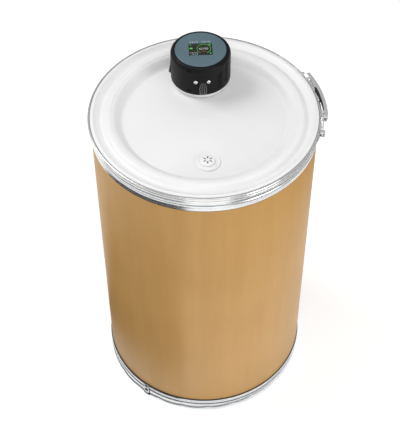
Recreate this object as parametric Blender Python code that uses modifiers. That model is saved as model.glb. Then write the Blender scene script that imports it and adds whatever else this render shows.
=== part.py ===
"""Lever-lock fibre drum: kraft wall, steel chimes, moulded lid, control unit and breather vent.

All sizes below are in millimetres and angles in degrees, measured counter-clockwise from +X.
The drum's axis is vertical.  It stands a little to the left of the origin, so that the
origin is the bottom centre of the whole object's box, lever included.
"""
import math

import bmesh
import bpy
from mathutils import Matrix, Vector

MM = 0.001
GAP = 0.3

# Drum body
WALL_R = 235.0
WALL_T = 5.0
RIM_Z = 778.5
SHEET = 0.9
CHIME_IN_R = WALL_R - WALL_T - GAP
CHIME_OUT_R = WALL_R + GAP
TOP_CHIME_DROP = 40.0
BOTTOM_CHIME_TOP = 43.0
CHIME_JOINT_ANGLE = -126.5
CHIME_JOINT_WIDTH = 14.0
BIG_STEPS = 48

# Closing ring and lever
BAND_R = 240.5
BAND_SHEET = 1.2
BAND_DROP = 13.0
BAND_LIP_R = 238.3
BAND_GAP_ANGLES = (-3.4, 355.4)
LEVER_R = 254.0
LEVER_IN_R = 246.5
LEVER_DROP = 14.0
LEVER_ANGLES = (-3.2, 28.5)
PIVOT = (248.6, -2.4)
LINK_END = (246.5, 1.2)
ANCHOR = (246.5, -13.0)
PIN_R = 2.0
BRACKET_R = BAND_R + 0.4
BRACKET_T = 1.2
EAR_TOP = -1.6
EAR_BOTTOM = -12.4
RIVET_ANGLES = {
    "rivet_hinge_near": 2.6,
    "rivet_hinge_far": 6.4,
    "rivet_anchor_near": -8.8,
    "rivet_anchor_far": -16.6,
}

# Lid
LID_EDGE_R = 237.4
PANEL_R = 168.0
PANEL_DROP = 17.0
LID_T = 3.0
SKIRT_R = 228.2
SKIRT_DROP = 27.0

# Control unit, in its own frame: origin on its axis, level with the drum's rim
UNIT_PLACE = (-7.9, 113.0)
UNIT_TURN = 3.0
UNIT_R = 63.0
UNIT_WALL = 2.4
UNIT_TOP = 71.0
FACE_R = 54.0
SCREEN = (49.0, 36.7)
VENT_ANGLES = (-53.0, -33.0, -13.0, 7.0, 27.0)
SLOT = (12.5, 3.4)
SLOT_PITCH = 5.85
SLOT_FIRST = 12.5
CLIP_HALF_ANGLE = 8.0
CLIP_ANGLES = {"clip_front": -88.2, "clip_left": 169.0}
CLIP_Z = (5.0, 30.0)
CLIP_REACH = 4.5
SCREW_ANGLES = {"clip_screw_left": -102.1, "clip_screw_right": -77.6}
SCREW_Z = 36.0
SCREW_HEAD_R = 4.25
BASE_SCREW_R = 40.0
STEM_R = 13.0
PROBE_R = 6.0
PROBE_DROP = 45.0
FAN_ANGLE = -33.0
FAN_SIZE = 40.0
FAN_DEPTH = 10.0
FAN_PLACE_R = 47.0
FAN_Z = 31.0

# Breather vent, in its own frame: origin on its axis, on the lid's panel
VENT_PLACE = (6.7, -125.0)
VENT_R = 15.6
VENT_FLANGE_R = 26.0
VENT_TOP = 7.0
VENT_STEM_R = 9.0

# Origin at the bottom centre of the box: the lever reaches out on +X only
DRUM_AXIS_X = -(LEVER_R - BAND_R) / 2


def clear_scene():
    for item in list(bpy.data.objects):
        bpy.data.objects.remove(item, do_unlink=True)


def make_material(name, colour, roughness, metallic=0.0):
    material = bpy.data.materials.new(name)
    material.use_nodes = True
    shader = material.node_tree.nodes["Principled BSDF"]
    shader.inputs["Base Color"].default_value = (*colour, 1.0)
    shader.inputs["Roughness"].default_value = roughness
    shader.inputs["Metallic"].default_value = metallic
    return material


def make_materials():
    return {
        "kraft": make_material("kraft_board", (0.50, 0.33, 0.17), 0.75),
        "board": make_material("fibreboard", (0.36, 0.24, 0.13), 0.85),
        "steel": make_material("galvanised_steel", (0.62, 0.64, 0.66), 0.35, 1.0),
        "bright": make_material("zinc_plated_steel", (0.72, 0.72, 0.72), 0.25, 1.0),
        "lid": make_material("white_polyethylene", (0.80, 0.80, 0.80), 0.45),
        "seal": make_material("sponge_rubber", (0.05, 0.05, 0.05), 0.9),
        "housing": make_material("black_abs", (0.015, 0.015, 0.017), 0.4),
        "face": make_material("slate_faceplate", (0.12, 0.18, 0.20), 0.5),
        "glass": make_material("display_glass", (0.01, 0.01, 0.01), 0.1),
        "circuit": make_material("circuit_board", (0.02, 0.15, 0.05), 0.6),
        "cell": make_material("battery_wrap", (0.10, 0.20, 0.45), 0.5),
        "filter": make_material("filter_felt", (0.75, 0.75, 0.72), 0.95),
    }


def place(obj, parent, collection, material):
    """Link an object into a collection, under an empty, with its material."""
    collection.objects.link(obj)
    obj.parent = parent
    if material:
        obj.data.materials.append(material)
    return obj


def make_empty(name, parent, location, collection, turn=0.0):
    """An empty whose axis the pieces under it share."""
    empty = bpy.data.objects.new(name, None)
    collection.objects.link(empty)
    empty.parent = parent
    empty.location = Vector(location) * MM
    empty.rotation_euler = (0.0, 0.0, math.radians(turn))
    return empty


def polar(radius, angle, height=0.0):
    turn = math.radians(angle)
    return Vector((radius * math.cos(turn), radius * math.sin(turn), height))


def s_curve(start, end, count):
    """Points of a smooth S from one (radius, height) to another."""
    points = []
    for step in range(count + 1):
        share = step / count
        rise = 0.5 - 0.5 * math.cos(math.pi * share)
        points.append((start[0] + (end[0] - start[0]) * share, start[1] + (end[1] - start[1]) * rise))
    return points


def quarter(centre, radius, first, last, count):
    """Points of an arc in a (radius, height) profile."""
    points = []
    for step in range(count + 1):
        turn = math.radians(first + (last - first) * step / count)
        points.append((centre[0] + radius * math.cos(turn), centre[1] + radius * math.sin(turn)))
    return points


def turned(name, profile, base=0.0, steps=BIG_STEPS):
    """A solid of revolution; the profile runs down its outer side, in (radius, height)."""
    mesh = bpy.data.meshes.new(name)
    points = [(radius * MM, 0.0, (base + height) * MM) for radius, height in profile]
    edges = [(index, index + 1) for index in range(len(points) - 1)]
    touches_axis = profile[0][0] == 0 and profile[-1][0] == 0
    if not touches_axis:
        edges.append((len(points) - 1, 0))
    mesh.from_pydata(points, edges, [])
    obj = bpy.data.objects.new(name, mesh)
    screw = obj.modifiers.new("turn", "SCREW")
    screw.steps = steps
    screw.render_steps = steps
    screw.use_merge_vertices = True
    screw.merge_threshold = 0.00001
    screw.use_smooth_shade = True
    return obj


def swept(name, section, first, last, steps, base=0.0):
    """A closed (radius, height) section carried round the Z axis from one angle to another."""
    bm = bmesh.new()
    start = Matrix.Rotation(math.radians(first), 4, "Z")
    verts = [bm.verts.new(start @ Vector((r * MM, 0.0, (base + z) * MM))) for r, z in section]
    face = bm.faces.new(verts)
    bmesh.ops.spin(
        bm,
        geom=[face, *face.edges, *face.verts],
        cent=(0.0, 0.0, 0.0),
        axis=(0.0, 0.0, 1.0),
        angle=math.radians(last - first),
        steps=steps,
    )
    bmesh.ops.recalc_face_normals(bm, faces=bm.faces)
    mesh = bpy.data.meshes.new(name)
    bm.to_mesh(mesh)
    bm.free()
    return bpy.data.objects.new(name, mesh)


def block(name, size, centre, turn=0.0, bevel=0.0):
    """A box, turned about Z, with its edges rounded if asked."""
    bm = bmesh.new()
    bmesh.ops.create_cube(bm, size=1.0)
    bmesh.ops.scale(bm, vec=Vector(size) * MM, verts=bm.verts)
    mesh = bpy.data.meshes.new(name)
    bm.to_mesh(mesh)
    bm.free()
    obj = bpy.data.objects.new(name, mesh)
    obj.location = Vector(centre) * MM
    obj.rotation_euler = (0.0, 0.0, math.radians(turn))
    if bevel:
        rounding = obj.modifiers.new("rounding", "BEVEL")
        rounding.width = bevel * MM
        rounding.segments = 2
    return obj


def rod(name, radius, low, high, centre, sides=20):
    """An upright cylinder between two heights."""
    bm = bmesh.new()
    bmesh.ops.create_cone(
        bm,
        cap_ends=True,
        segments=sides,
        radius1=radius * MM,
        radius2=radius * MM,
        depth=(high - low) * MM,
    )
    mesh = bpy.data.meshes.new(name)
    bm.to_mesh(mesh)
    bm.free()
    obj = bpy.data.objects.new(name, mesh)
    obj.location = Vector((centre[0], centre[1], (low + high) / 2)) * MM
    return obj


def radial_rod(name, radius, near, far, angle, height, sides=20):
    """A cylinder pointing straight out from the Z axis, between two radii."""
    obj = rod(name, radius, 0.0, far - near, (0.0, 0.0), sides)
    obj.location = polar((near + far) / 2, angle, height) * MM
    obj.rotation_euler = (0.0, math.radians(90.0), math.radians(angle))
    return obj


def combine(obj, other, operation, cutters):
    """Join to, or cut from, an object with a hidden tool object."""
    cutters.objects.link(other)
    other.parent = obj.parent
    other.hide_render = True
    other.display_type = "WIRE"
    boolean = obj.modifiers.new(operation.lower(), "BOOLEAN")
    boolean.operation = operation
    boolean.object = other
    boolean.solver = "EXACT"


def rest_origin_on(obj, point):
    """Move an object's origin to a point in mm, with its mesh left where it is."""
    shift = Vector(point) * MM
    obj.data.transform(Matrix.Translation(-shift))
    obj.location = shift


class Bench:
    """The collections, materials and empties that the sub-parts share."""

    def __init__(self):
        scene = bpy.context.scene.collection
        self.parts = bpy.data.collections.new("fibre_drum")
        self.cutters = bpy.data.collections.new("cutters")
        scene.children.link(self.parts)
        scene.children.link(self.cutters)
        self.materials = make_materials()
        self.drum = make_empty("drum_axis", None, (DRUM_AXIS_X, 0.0, 0.0), self.parts)
        self.unit = make_empty("unit_axis", self.drum, (*UNIT_PLACE, RIM_Z), self.parts, UNIT_TURN)
        panel_z = RIM_Z - PANEL_DROP
        self.vent = make_empty("vent_axis", self.drum, (*VENT_PLACE, panel_z), self.parts)

    def add(self, obj, slot, parent=None):
        return place(obj, parent or self.drum, self.parts, self.materials[slot])

    def cut(self, obj, tool):
        combine(obj, tool, "DIFFERENCE", self.cutters)

    def join(self, obj, tool):
        combine(obj, tool, "UNION", self.cutters)


# ---------------------------------------------------------------- drum body


def fibre_wall(bench):
    inner = WALL_R - WALL_T
    top = RIM_Z - 6.5
    bottom = 1.6
    profile = [(WALL_R, top), (WALL_R, bottom), (inner, bottom), (inner, top)]
    bench.add(turned("fibre_wall", profile), "kraft")


def bottom_head(bench):
    radius = CHIME_IN_R - SHEET - 0.4
    profile = [(0.0, 16.3), (radius, 16.3), (radius, 10.3), (0.0, 10.3)]
    bench.add(turned("bottom_head", profile), "board")


def bottom_chime(bench):
    """Rolled steel foot: two swages outside, a ledge and a crimp for the head inside."""
    leg_r = CHIME_IN_R - SHEET
    sheet_r = CHIME_OUT_R + SHEET
    outside = [
        (sheet_r, BOTTOM_CHIME_TOP),
        (237.4, 40.5),
        (237.4, 35.5),
        (sheet_r, 31.0),
        (sheet_r, 27.0),
        (237.2, 24.0),
        (237.2, 4.0),
        (235.6, 0.0),
    ]
    inside = [
        (229.2, 0.0),
        (228.4, 0.8),
        (228.4, 9.0),
        (223.0, 9.0),
        (223.0, 10.0),
        (leg_r, 10.0),
        (leg_r, 16.8),
        (227.6, 17.8),
        (227.6, 19.2),
        (leg_r, 20.2),
        (leg_r, 26.0),
    ]
    channel = [(CHIME_IN_R, 26.0), (CHIME_IN_R, 1.2), (CHIME_OUT_R, 1.2), (CHIME_OUT_R, BOTTOM_CHIME_TOP)]
    bench.add(turned("bottom_chime", outside + inside + channel), "steel")


def bottom_chime_joint(bench):
    """Crimped clip where the ends of the bottom chime's strip meet."""
    half = math.degrees(CHIME_JOINT_WIDTH / 2 / WALL_R)
    section = [(238.6, 41.5), (238.6, 1.5), (237.7, 1.5), (237.7, 41.5)]
    first = CHIME_JOINT_ANGLE - half
    last = CHIME_JOINT_ANGLE + half
    clip = bench.add(swept("bottom_chime_joint", section, first, last, 3), "steel")
    for height in (29.5, 3.5):
        notch = block("joint_notch", (6.0, 5.0, 3.0), polar(238.2, CHIME_JOINT_ANGLE, height), CHIME_JOINT_ANGLE)
        bench.cut(clip, notch)


def top_chime(bench):
    """Rolled steel rim: an outward curl for the band, and a swage below it."""
    leg_r = CHIME_IN_R - SHEET
    sheet_r = CHIME_OUT_R + SHEET
    outside = [
        (236.4, -5.0),
        (237.6, -6.5),
        (237.6, -10.0),
        (sheet_r, -12.5),
        (sheet_r, -22.5),
        (237.7, -24.5),
        (237.7, -29.0),
        (sheet_r, -31.5),
        (sheet_r, -TOP_CHIME_DROP),
    ]
    channel = [(CHIME_OUT_R, -TOP_CHIME_DROP), (CHIME_OUT_R, -6.0), (CHIME_IN_R, -6.0), (CHIME_IN_R, -31.0)]
    inside = [(leg_r, -31.0), (leg_r, -6.0), (229.8, -5.0)]
    bench.add(turned("top_chime", outside + channel + inside, RIM_Z), "steel")


# ------------------------------------------------------------- closing ring


def lock_band(bench):
    """Sprung C of channel: its upper leg sits on the lid's edge, its lower leg under the curl."""
    web = BAND_R - BAND_SHEET
    low = -BAND_DROP
    section = [
        (236.3, 0.0),
        (239.4, 0.0),
        (BAND_R, -1.2),
        (BAND_R, low + 1.2),
        (239.4, low),
        (BAND_LIP_R, low),
        (BAND_LIP_R, low + 1.0),
        (web, low + 1.6),
        (web, -1.6),
        (238.6, -1.0),
        (236.3, -1.0),
    ]
    first, last = BAND_GAP_ANGLES
    bench.add(swept("lock_band", section, first, last, 2 * BIG_STEPS, RIM_Z), "bright")


def bracket(bench, name, plate_angles, ear_r, pivot):
    """A plate on the band with two round-ended ears about a pivot."""
    web_r = BRACKET_R + BRACKET_T
    plate = [(web_r, -2.6), (web_r, -11.4), (BRACKET_R, -11.4), (BRACKET_R, -2.6)]
    obj = bench.add(swept(name, plate, *plate_angles, 4, RIM_Z), "bright")
    pivot_r, pivot_angle = pivot
    ears = [
        (pivot_r, EAR_TOP),
        (pivot_r, EAR_TOP - BRACKET_T),
        (web_r, EAR_TOP - BRACKET_T),
        (web_r, EAR_BOTTOM + BRACKET_T),
        (pivot_r, EAR_BOTTOM + BRACKET_T),
        (pivot_r, EAR_BOTTOM),
        (BRACKET_R, EAR_BOTTOM),
        (BRACKET_R, EAR_TOP),
    ]
    half = math.degrees(ear_r / pivot_r)
    bench.join(obj, swept(name + "_ears", ears, pivot_angle - half, pivot_angle + half, 2, RIM_Z))
    centre = polar(*pivot)[:2]
    for top in (RIM_Z + EAR_TOP, RIM_Z + EAR_BOTTOM + BRACKET_T):
        bench.join(obj, rod(name + "_ear_end", ear_r - 0.05, top - BRACKET_T, top, centre, 28))
    bench.cut(obj, rod(name + "_hole", PIN_R + GAP, RIM_Z - 20.0, RIM_Z + 5.0, centre))
    return obj


def hinge_bracket(bench):
    bracket(bench, "hinge_bracket", (PIVOT[1], 9.0), 3.8, PIVOT)


def link_bracket(bench):
    bracket(bench, "link_bracket", (-19.0, -6.4), 4.4, ANCHOR)


def rivets(bench):
    """Domed rivet heads that hold the two brackets to the band."""
    near = BRACKET_R + BRACKET_T + GAP
    for name, angle in RIVET_ANGLES.items():
        head = radial_rod(name, 2.4, near, near + 1.3, angle, RIM_Z - 7.0, 14)
        rounding = head.modifiers.new("dome", "BEVEL")
        rounding.width = 0.8 * MM
        rounding.segments = 2
        rounding.limit_method = "ANGLE"
        bench.add(head, "bright")


def headed_pin(bench, name, radius, low, high, place_xy, head_low, head_high):
    """A pin with one round head, as a turned solid about its own axis."""
    head_r = radius + 1.7
    if head_high > high:
        profile = [(0.0, head_high), (head_r, head_high), (head_r, head_low), (radius, head_low)]
        profile += [(radius, low), (0.0, low)]
    else:
        profile = [(0.0, high), (radius, high), (radius, head_high), (head_r, head_high)]
        profile += [(head_r, head_low), (0.0, head_low)]
    pin = turned(name, profile, RIM_Z, 18)
    pin.location = Vector((*place_xy, 0.0)) * MM
    return bench.add(pin, "bright")


def pivot_pins(bench):
    """Two stub pins carry the lever, so that the link can pass between them."""
    xy = polar(*PIVOT)[:2]
    headed_pin(bench, "lever_pin_upper", PIN_R, -3.4, 0.4, xy, 0.4, 1.6)
    headed_pin(bench, "lever_pin_lower", PIN_R, -14.4, -10.6, xy, -15.6, -14.4)
    anchor = polar(*ANCHOR)[:2]
    headed_pin(bench, "link_anchor_pin", PIN_R, -13.4, -1.2, anchor, -1.2, 0.0)


def seal_eye(bench):
    """Loop on the band just past the lever's free end, for a wire seal."""
    loop = block("seal_eye", (7.0, 7.0, 2.0), polar(BRACKET_R + 3.5, 31.0, RIM_Z - 7.0), 31.0, 0.5)
    eye = bench.add(loop, "bright")
    hole = rod("seal_eye_hole", 1.8, RIM_Z - 10.0, RIM_Z - 4.0, polar(BRACKET_R + 3.8, 31.0)[:2])
    bench.cut(eye, hole)


def lever_handle(bench):
    """Arched channel, open towards the band, slotted where the link swings through it."""
    web = LEVER_R - BRACKET_T
    low = -LEVER_DROP
    section = [
        (LEVER_R - 0.8, 0.0),
        (LEVER_R, -0.8),
        (LEVER_R, low + 0.8),
        (LEVER_R - 0.8, low),
        (LEVER_IN_R, low),
        (LEVER_IN_R, low + BRACKET_T),
        (web, low + BRACKET_T),
        (web, -BRACKET_T),
        (LEVER_IN_R, -BRACKET_T),
        (LEVER_IN_R, 0.0),
    ]
    lever = swept("lever_handle", section, *LEVER_ANGLES, 10, RIM_Z)
    pivot = polar(*PIVOT)
    rest_origin_on(lever, pivot)
    bench.add(lever, "bright")
    bench.cut(lever, rod("lever_hole", PIN_R + 0.35, RIM_Z - 20.0, RIM_Z + 5.0, pivot[:2]))
    heel = swept("lever_heel", [(256, 2), (256, -16), (252, -16), (252, 2)], -5.0, -2.1, 1, RIM_Z)
    bench.cut(lever, heel)
    slot = [(256, -3.4), (256, -10.6), (251, -10.6), (251, -3.4)]
    bench.cut(lever, swept("lever_slot", slot, -5.0, 5.6, 2, RIM_Z))
    for angle in (19.6, 22.4):
        hole = radial_rod("lever_seal_hole", 1.7, 250.0, 256.0, angle, RIM_Z - 7.0, 12)
        bench.cut(lever, hole)


def lever_pad(bench):
    """Rubber pad set in the lever's channel, which bears on the band when the lever is shut."""
    section = [(252.4, -1.6), (252.4, -12.4), (243.4, -12.4), (243.4, -1.6)]
    bench.add(swept("lever_pad", section, 9.8, 18.4, 4, RIM_Z), "seal")


def link_plate(bench):
    """Strap from the anchor to the lever, with an eye at each end."""
    start = polar(*ANCHOR)
    end = polar(*LINK_END)
    along = end - start
    turn = math.degrees(math.atan2(along.y, along.x))
    centre = (start + end) / 2
    low, high = RIM_Z - 10.0, RIM_Z - 4.0
    eye = rod("link_plate", 3.6, low, high, start[:2])
    bench.add(eye, "bright")
    strap = block("link_strap", (along.length - 2.0, 1.6, high - low), (centre.x, centre.y, RIM_Z - 7.0), turn)
    bench.join(eye, strap)
    bench.join(eye, rod("link_eye", 3.2, low, high, end[:2]))
    bench.cut(eye, rod("link_hole_anchor", PIN_R + GAP, low - 5.0, high + 5.0, start[:2]))
    bench.cut(eye, rod("link_hole_lever", 1.5 + GAP, low - 5.0, high + 5.0, end[:2]))
    bench.add(rod("link_pin", 1.5, RIM_Z - 12.0, RIM_Z - 2.0, end[:2], 16), "bright")


# ---------------------------------------------------------------------- lid


def lid_cover(bench):
    """Moulded lid: edge under the band, gutter, raised bead, and a sunk panel."""
    panel = -PANEL_DROP
    top = [(0.0, panel + 0.5), (6.5, panel + 0.5), (8.0, panel)]
    top += s_curve((PANEL_R, panel), (191.6, 0.5), 5)
    top += [(192.3, 1.2), (194.0, 1.7), (198.0, 1.9), (202.5, 1.6), (205.0, 0.7), (208.0, -1.8)]
    top += [(211.5, -5.0), (214.0, -6.0), (228.2, -0.5), (229.2, 0.4), (230.4, -0.1), (234.8, 0.0)]
    edge = [(235.4, -0.5), (235.4, -1.4), (LID_EDGE_R, -1.5), (LID_EDGE_R, -2.3), (229.0, -2.3)]
    skirt = [(SKIRT_R, -3.1), (SKIRT_R, 1.0 - SKIRT_DROP), (227.4, -SKIRT_DROP), (225.6, -SKIRT_DROP)]
    skirt += [(225.2, 1.0 - SKIRT_DROP), (225.2, -4.7)]
    under = [(214.2, -9.2), (211.0, -8.4), (206.2, -4.2), (203.0, -1.7), (193.6, -1.4)]
    under += s_curve((190.4, -2.6), (PANEL_R - 1.0, panel - LID_T), 5)
    under += [(0.0, panel - LID_T)]
    lid = bench.add(turned("lid_cover", top + edge + skirt + under, RIM_Z), "lid")
    deep = RIM_Z - 40.0
    bench.cut(lid, rod("stem_hole", STEM_R + 0.4, deep, RIM_Z, UNIT_PLACE, 32))
    bench.cut(lid, rod("vent_hole", VENT_STEM_R + 0.3, deep, RIM_Z, VENT_PLACE, 28))


def lid_gasket(bench):
    profile = [(234.6, -2.6), (234.6, -4.7), (230.4, -4.7), (230.4, -2.6)]
    bench.add(turned("lid_gasket", profile, RIM_Z), "seal")


def mount_base(bench):
    """Cup that the control unit stands on, with a threaded stem through the lid."""
    cup = [
        (62.0, -1.0),
        (62.0, -4.0),
        (61.2, -4.8),
        (50.0, -4.8),
        (50.0, -12.5),
        (54.0, -14.4),
        (54.0, -15.4),
        (STEM_R, -15.4),
        (STEM_R, -31.0),
        (9.0, -31.0),
        (9.0, -12.6),
        (46.5, -12.6),
        (46.5, -1.0),
    ]
    bench.add(turned("mount_base", cup, 0.0, 36), "lid", bench.unit)
    gasket = [(50.0, -15.7), (50.0, -16.7), (STEM_R + 0.4, -16.7), (STEM_R + 0.4, -15.7)]
    bench.add(turned("mount_gasket", gasket, 0.0, 32), "seal", bench.unit)
    nut = rod("mount_nut", 21.0, -27.0, -20.3, (0.0, 0.0), 6)
    bench.add(nut, "lid", bench.unit)
    bench.cut(nut, rod("mount_nut_bore", STEM_R + 0.4, -40.0, 0.0, (0.0, 0.0), 36))


def vent(bench):
    """Breather vent: threaded body, seal, nut, filter, and a slotted cap that lifts off."""
    body = [
        (11.8, 4.2),
        (11.8, 2.4),
        (17.0, 2.4),
        (17.4, 2.8),
        (20.6, 2.6),
        (21.2, 2.0),
        (22.2, 2.0),
        (22.6, 2.3),
        (25.4, 2.0),
        (VENT_FLANGE_R, 1.3),
        (VENT_STEM_R, 1.3),
        (VENT_STEM_R, -14.0),
        (6.0, -14.0),
        (6.0, 4.2),
    ]
    bench.add(turned("vent_body", body, 0.0, 32), "lid", bench.vent)
    o_ring = [(12.6, 1.0), (12.6, 0.3), (9.5, 0.3), (9.5, 1.0)]
    bench.add(turned("vent_o_ring", o_ring, 0.0, 28), "seal", bench.vent)
    nut = rod("vent_nut", 15.5, -9.6, -3.4, (0.0, 0.0), 6)
    bench.add(nut, "lid", bench.vent)
    bench.cut(nut, rod("vent_nut_bore", VENT_STEM_R + 0.3, -20.0, 0.0, (0.0, 0.0), 28))
    felt = [(0.0, 5.3), (9.5, 5.3), (9.5, 4.5), (0.0, 4.5)]
    bench.add(turned("vent_filter", felt, 0.0, 24), "filter", bench.vent)
    shell = [
        (0.0, VENT_TOP),
        (9.0, VENT_TOP - 0.2),
        (13.0, VENT_TOP - 1.0),
        (15.0, VENT_TOP - 2.4),
        (VENT_R, VENT_TOP - 3.6),
        (VENT_R, 2.8),
        (12.6, 2.8),
        (12.6, 4.9),
        (11.0, 5.6),
        (0.0, 5.7),
    ]
    cap = bench.add(turned("vent_cap", shell, 0.0, 32), "lid", bench.vent)
    for turn in (30.0, 90.0, 150.0, 210.0, 270.0, 330.0):
        slot = block("vent_cap_slot", (4.5, 1.6, 8.0), polar(7.0, turn, VENT_TOP), turn)
        bench.cut(cap, slot)


# ------------------------------------------------------------- control unit


def housing(bench):
    """Round shell with vent slots, two clip windows, side slits and a ledge for the faceplate."""
    inner = UNIT_R - UNIT_WALL
    shoulder = quarter((54.0, 62.0), 9.0, 90.0, 0.0, 5)
    inside = [(inner, 0.3), (inner, 60.0), (57.5, 65.0), (52.0, 66.8), (52.0, 68.0), (54.4, 68.0)]
    profile = [(54.4, UNIT_TOP)] + shoulder[1:] + [(UNIT_R, 0.3)] + inside
    shell = bench.add(turned("housing", profile, 0.0, 44), "housing", bench.unit)
    for column, angle in enumerate(VENT_ANGLES):
        count = 9 if column == 1 else 7
        for row in range(count):
            height = SLOT_FIRST + row * SLOT_PITCH
            size = (8.0, SLOT[0], SLOT[1])
            bench.cut(shell, block("vent_slot", size, polar(UNIT_R - 1.0, angle, height), angle))
    for height in (61.5, 9.5):
        slit = [(66, height + 1.2), (66, height - 1.2), (57, height - 1.2), (57, height + 1.2)]
        bench.cut(shell, swept("side_slit", slit, -121.0, -110.0, 2))
    low, high = CLIP_Z[0] - 0.5, CLIP_Z[1] + 0.5
    half = CLIP_HALF_ANGLE + 0.5
    for angle in CLIP_ANGLES.values():
        window = [(66, high), (66, low), (58, low), (58, high)]
        bench.cut(shell, swept("clip_window", window, angle - half, angle + half, 3))
    for angle in SCREW_ANGLES.values():
        bench.cut(shell, radial_rod("screw_hole", 2.3, 58.0, 66.0, angle, SCREW_Z, 16))


def clips(bench):
    """Ribbed press clips; each hangs from its upper edge and tapers out towards its foot."""
    low, high = CLIP_Z
    section = [
        (UNIT_R + 0.1, high),
        (UNIT_R + CLIP_REACH, low + 1.6),
        (UNIT_R + CLIP_REACH - 1.0, low),
        (UNIT_R - 1.8, low),
        (UNIT_R - 1.8, high),
    ]
    hinge = Vector((UNIT_R - 1.0, 0.0, high - 1.0))
    mesh = None
    for name, angle in CLIP_ANGLES.items():
        if mesh is None:
            first = swept(name, section, -CLIP_HALF_ANGLE, CLIP_HALF_ANGLE, 4)
            rest_origin_on(first, hinge)
            mesh = first.data
            obj = first
        else:
            obj = bpy.data.objects.new(name, mesh)
        obj.location = polar(hinge.x, angle, hinge.z) * MM
        obj.rotation_euler = (0.0, 0.0, math.radians(angle))
        if not mesh.materials:
            mesh.materials.append(bench.materials["housing"])
        place(obj, bench.unit, bench.parts, None)


def unit_screws(bench):
    """Two pan-head screws on the wall, and three that hold the base."""
    for name, angle in SCREW_ANGLES.items():
        head_z = UNIT_R + 0.4
        profile = [(0.0, 2.4), (2.6, 2.2), (SCREW_HEAD_R, 1.0), (SCREW_HEAD_R, 0.0)]
        profile += [(2.0, 0.0), (2.0, -8.0), (0.0, -8.0)]
        screw = turned(name, profile, 0.0, 24)
        screw.location = polar(head_z, angle, SCREW_Z) * MM
        screw.rotation_euler = (0.0, math.radians(90.0), math.radians(angle))
        bench.add(screw, "bright", bench.unit)
    for index in range(3):
        angle = 30.0 + 120.0 * index
        profile = [(0.0, 10.0), (1.4, 10.0), (1.4, 0.2), (3.0, 0.2), (3.0, -1.6), (0.0, -1.6)]
        screw = turned("base_screw_" + str(index + 1), profile, 0.0, 14)
        screw.location = polar(BASE_SCREW_R, angle) * MM
        bench.add(screw, "bright", bench.unit)


def housing_base(bench):
    radius = UNIT_R - UNIT_WALL - 0.4
    hole = PROBE_R + 0.4
    profile = [(radius, 3.6), (radius, 0.6), (hole, 0.6), (hole, 3.6)]
    base = bench.add(turned("housing_base", profile, 0.0, 44), "housing", bench.unit)
    for index in range(3):
        place_xy = polar(BASE_SCREW_R, 30.0 + 120.0 * index)[:2]
        bench.cut(base, rod("base_screw_hole", 1.8, -2.0, 6.0, place_xy, 14))


def display(bench):
    """Faceplate with its window, the glass in it, and the display module behind."""
    profile = [(0.0, UNIT_TOP), (53.2, UNIT_TOP), (FACE_R, UNIT_TOP - 0.8), (FACE_R, 68.4), (0.0, 68.4)]
    face = bench.add(turned("faceplate", profile, 0.0, 44), "face", bench.unit)
    bench.cut(face, block("screen_window", (*SCREEN, 8.0), (0.0, 0.0, UNIT_TOP)))
    glass = block("display_glass", (SCREEN[0] - 0.7, SCREEN[1] - 0.7, 1.6), (0.0, 0.0, UNIT_TOP - 1.2), 0.0, 0.3)
    bench.add(glass, "glass", bench.unit)
    module = block("display_module", (60.0, 43.0, 3.6), (0.0, 0.0, 66.0), 0.0, 0.4)
    bench.add(module, "circuit", bench.unit)


def electronics(bench):
    board = rod("main_board", 51.0, 56.0, 57.6, (0.0, 0.0), 40)
    bench.add(board, "circuit", bench.unit)
    bench.join(board, block("board_connector", (14.0, 7.0, 5.0), (-20.0, -30.0, 59.4)))
    bench.join(board, block("board_relay", (16.0, 12.0, 4.0), (22.0, 26.0, 59.0)))
    bench.add(block("battery", (44.0, 34.0, 12.0), (-24.0, 8.0, 18.4), 0.0, 2.0), "cell", bench.unit)
    profile = [(0.0, 3.0), (PROBE_R, 3.0), (PROBE_R, 3.0 - PROBE_DROP), (3.5, -PROBE_DROP), (0.0, -PROBE_DROP)]
    bench.add(turned("sensor_probe", profile, 0.0, 24), "housing", bench.unit)


def fan(bench):
    """Small axial fan facing the vent slots: square frame and a rotor on its axis."""
    centre = polar(FAN_PLACE_R, FAN_ANGLE, FAN_Z)
    frame = block("fan_frame", (FAN_DEPTH, FAN_SIZE, FAN_SIZE), centre, FAN_ANGLE, 1.5)
    bench.add(frame, "housing", bench.unit)
    near, far = FAN_PLACE_R - FAN_DEPTH, FAN_PLACE_R + FAN_DEPTH
    bench.cut(frame, radial_rod("fan_bore", 18.4, near, far, FAN_ANGLE, FAN_Z, 36))
    rotor = rod("fan_rotor", 8.0, -4.0, 4.0, (0.0, 0.0), 24)
    rotor.location = centre * MM
    rotor.rotation_euler = (0.0, math.radians(90.0), math.radians(FAN_ANGLE))
    bench.add(rotor, "housing", bench.unit)
    for index in range(7):
        blade = block("fan_blade", (12.0, 1.2, 6.0), (0.0, 0.0, 0.0))
        spoke = Matrix.Rotation(math.radians(360.0 / 7 * index), 4, "Z")
        pitch = Matrix.Translation((0.0118, 0.0, 0.0)) @ Matrix.Rotation(math.radians(35.0), 4, "X")
        blade.data.transform(spoke @ pitch)
        blade.location = rotor.location
        blade.rotation_euler = rotor.rotation_euler
        bench.join(rotor, blade)


def build_drum():
    clear_scene()
    bench = Bench()
    for make_part in (
        fibre_wall,
        bottom_head,
        bottom_chime,
        bottom_chime_joint,
        top_chime,
        lock_band,
        hinge_bracket,
        link_bracket,
        rivets,
        pivot_pins,
        seal_eye,
        lever_handle,
        lever_pad,
        link_plate,
        lid_cover,
        lid_gasket,
        mount_base,
        vent,
        housing,
        clips,
        unit_screws,
        housing_base,
        display,
        electronics,
        fan,
    ):
        make_part(bench)


build_drum()
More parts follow.
